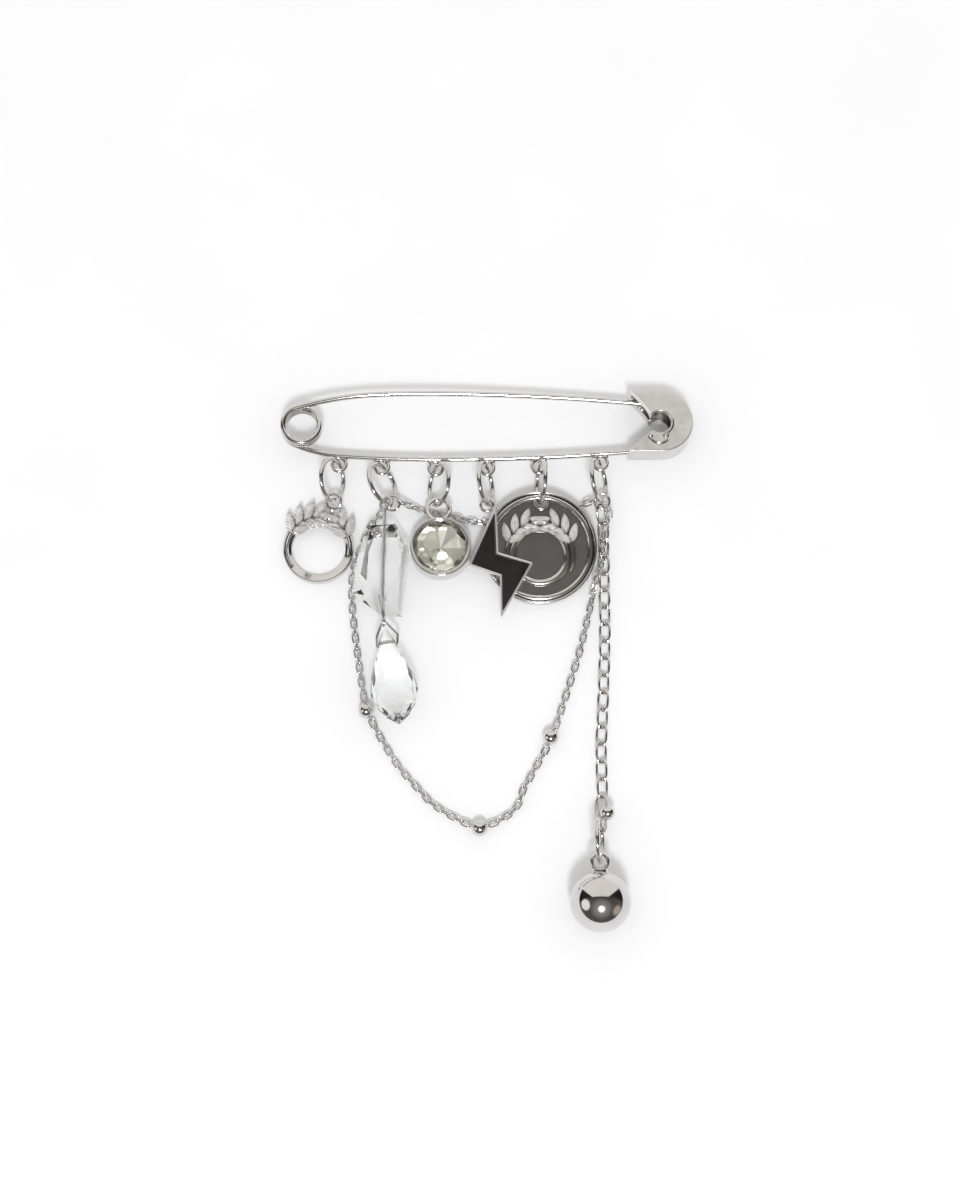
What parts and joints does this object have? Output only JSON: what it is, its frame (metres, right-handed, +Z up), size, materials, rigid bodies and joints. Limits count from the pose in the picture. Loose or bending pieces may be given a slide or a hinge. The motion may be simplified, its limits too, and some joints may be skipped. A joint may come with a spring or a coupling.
{
  "type": "charm brooch",
  "caption": "Large safety-pin brooch with ring, crystal, drop, stone, bolt and disc charms, a beaded swag chain and an extension chain that ends in a ball.",
  "frame": {"origin": "middle of the brooch's outline seen from above, on the table that it lies on", "axes": "+X along the pin from the coil to the cap, +Y from the ball up to the pin, +Z up from the table, out of the brooch's front"},
  "size_m": [0.08, 0.1048, 0.0112],
  "materials": {
    "polished_metal": "polished rhodium-coloured plating",
    "dark_metal": "polished, with a dark patina in the field",
    "clear_crystal": "clear, with polished facets",
    "foiled_stone": "pale greenish, faceted and foiled behind",
    "dark_enamel": "glossy near-black enamel"
  },
  "bodies": {
    "brooch": {"bar": "polished_metal", "cap": "polished_metal", "jump_ring_1": "polished_metal", "jump_ring_2": "polished_metal", "jump_ring_3": "polished_metal", "jump_ring_4": "polished_metal", "jump_ring_5": "polished_metal", "jump_ring_6": "polished_metal", "jump_ring_7": "polished_metal", "small_ring_left": "polished_metal", "small_ring_right": "polished_metal", "leaf_ring": "polished_metal", "nugget": "clear_crystal", "nugget_wire": "polished_metal", "drop_bail": "polished_metal", "drop": "clear_crystal", "bezel": "polished_metal", "stone": "foiled_stone", "bolt_frame": "polished_metal", "bolt_enamel": "dark_enamel", "disc": "dark_metal", "extension_chain": "polished_metal", "end_bead": "polished_metal", "ball": "polished_metal", "short_chain": "polished_metal", "swag_chain": "polished_metal", "swag_bead_1": "polished_metal", "swag_bead_2": "polished_metal", "swag_bead_3": "polished_metal"},
    "needle": {"needle": "polished_metal"}
  },
  "joints": [
    {"name": "needle_press", "type": "hinge", "parent": "brooch", "child": "needle", "pos_m": [-0.0359, 0.0452, 0.0045], "axis": [0, 0, 1], "range_deg": [-4, 0], "stiffness_Nm_per_rad": 0.25, "springref_deg": 0.29}
  ]
}
